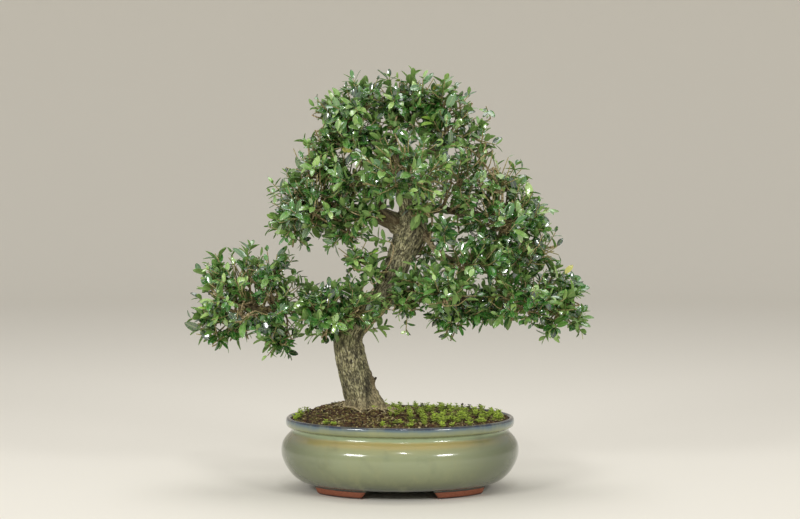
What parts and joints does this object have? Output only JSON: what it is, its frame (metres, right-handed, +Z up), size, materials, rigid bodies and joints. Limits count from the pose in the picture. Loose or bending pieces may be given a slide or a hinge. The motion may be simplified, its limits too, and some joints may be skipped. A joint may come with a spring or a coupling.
{
  "type": "phillyrea bonsai in an oval glazed pot",
  "caption": "Phillyrea bonsai with a leaning trunk, tiers of small-leaved sprays and a pointed crown, growing in a low oval celadon-glazed pot on unglazed feet.",
  "frame": {"origin": "middle of the bounding box, on the surface that the pot's feet stand on", "axes": "+X to the viewer's right along the pot's length, +Y to the back, +Z up"},
  "size_m": [0.5192, 0.264, 0.533],
  "materials": {
    "glaze": "gloss",
    "soil": "matte",
    "bark": "matte",
    "leaf": "satin",
    "screen_plastic": "matte",
    "clip_wire": "satin"
  },
  "bodies": {
    "root": {"pot": "glaze", "soil": "soil", "wood": "bark", "screen_1": "screen_plastic", "clip_1": "clip_wire", "screen_2": "screen_plastic", "clip_2": "clip_wire", "spray_left_low_1": "leaf", "spray_left_low_2": "leaf", "spray_left_low_3": "leaf", "spray_left_low_4": "leaf", "spray_left_low_5": "leaf", "spray_left_low_6": "leaf", "spray_left_low_7": "leaf", "spray_left_inner_1": "leaf", "spray_left_inner_2": "leaf", "spray_right_low_1": "leaf", "spray_right_low_2": "leaf", "spray_right_low_3": "leaf", "spray_right_low_4": "leaf", "spray_right_low_5": "leaf", "spray_right_low_6": "leaf", "spray_right_low_7": "leaf", "spray_right_inner_1": "leaf", "spray_right_inner_2": "leaf", "spray_right_mid_1": "leaf", "spray_right_mid_2": "leaf", "spray_left_up_1": "leaf", "spray_left_up_2": "leaf", "spray_left_up_3": "leaf", "spray_left_up_4": "leaf", "spray_left_up_5": "leaf", "spray_right_up_1": "leaf", "spray_right_up_2": "leaf", "spray_right_up_3": "leaf", "spray_right_up_4": "leaf", "spray_right_up_5": "leaf", "spray_back_low_1": "leaf", "spray_back_up_1": "leaf", "spray_back_up_2": "leaf", "spray_front_up_1": "leaf", "spray_front_up_2": "leaf", "spray_front_up_3": "leaf", "spray_crown_left_1": "leaf", "spray_crown_left_2": "leaf", "spray_crown_left_3": "leaf", "spray_crown_right_1": "leaf", "spray_crown_right_2": "leaf", "spray_crown_right_3": "leaf", "spray_leader_1": "leaf", "spray_leader_2": "leaf", "spray_leader_3": "leaf", "spray_sprig": "leaf"}
  },
  "joints": []
}
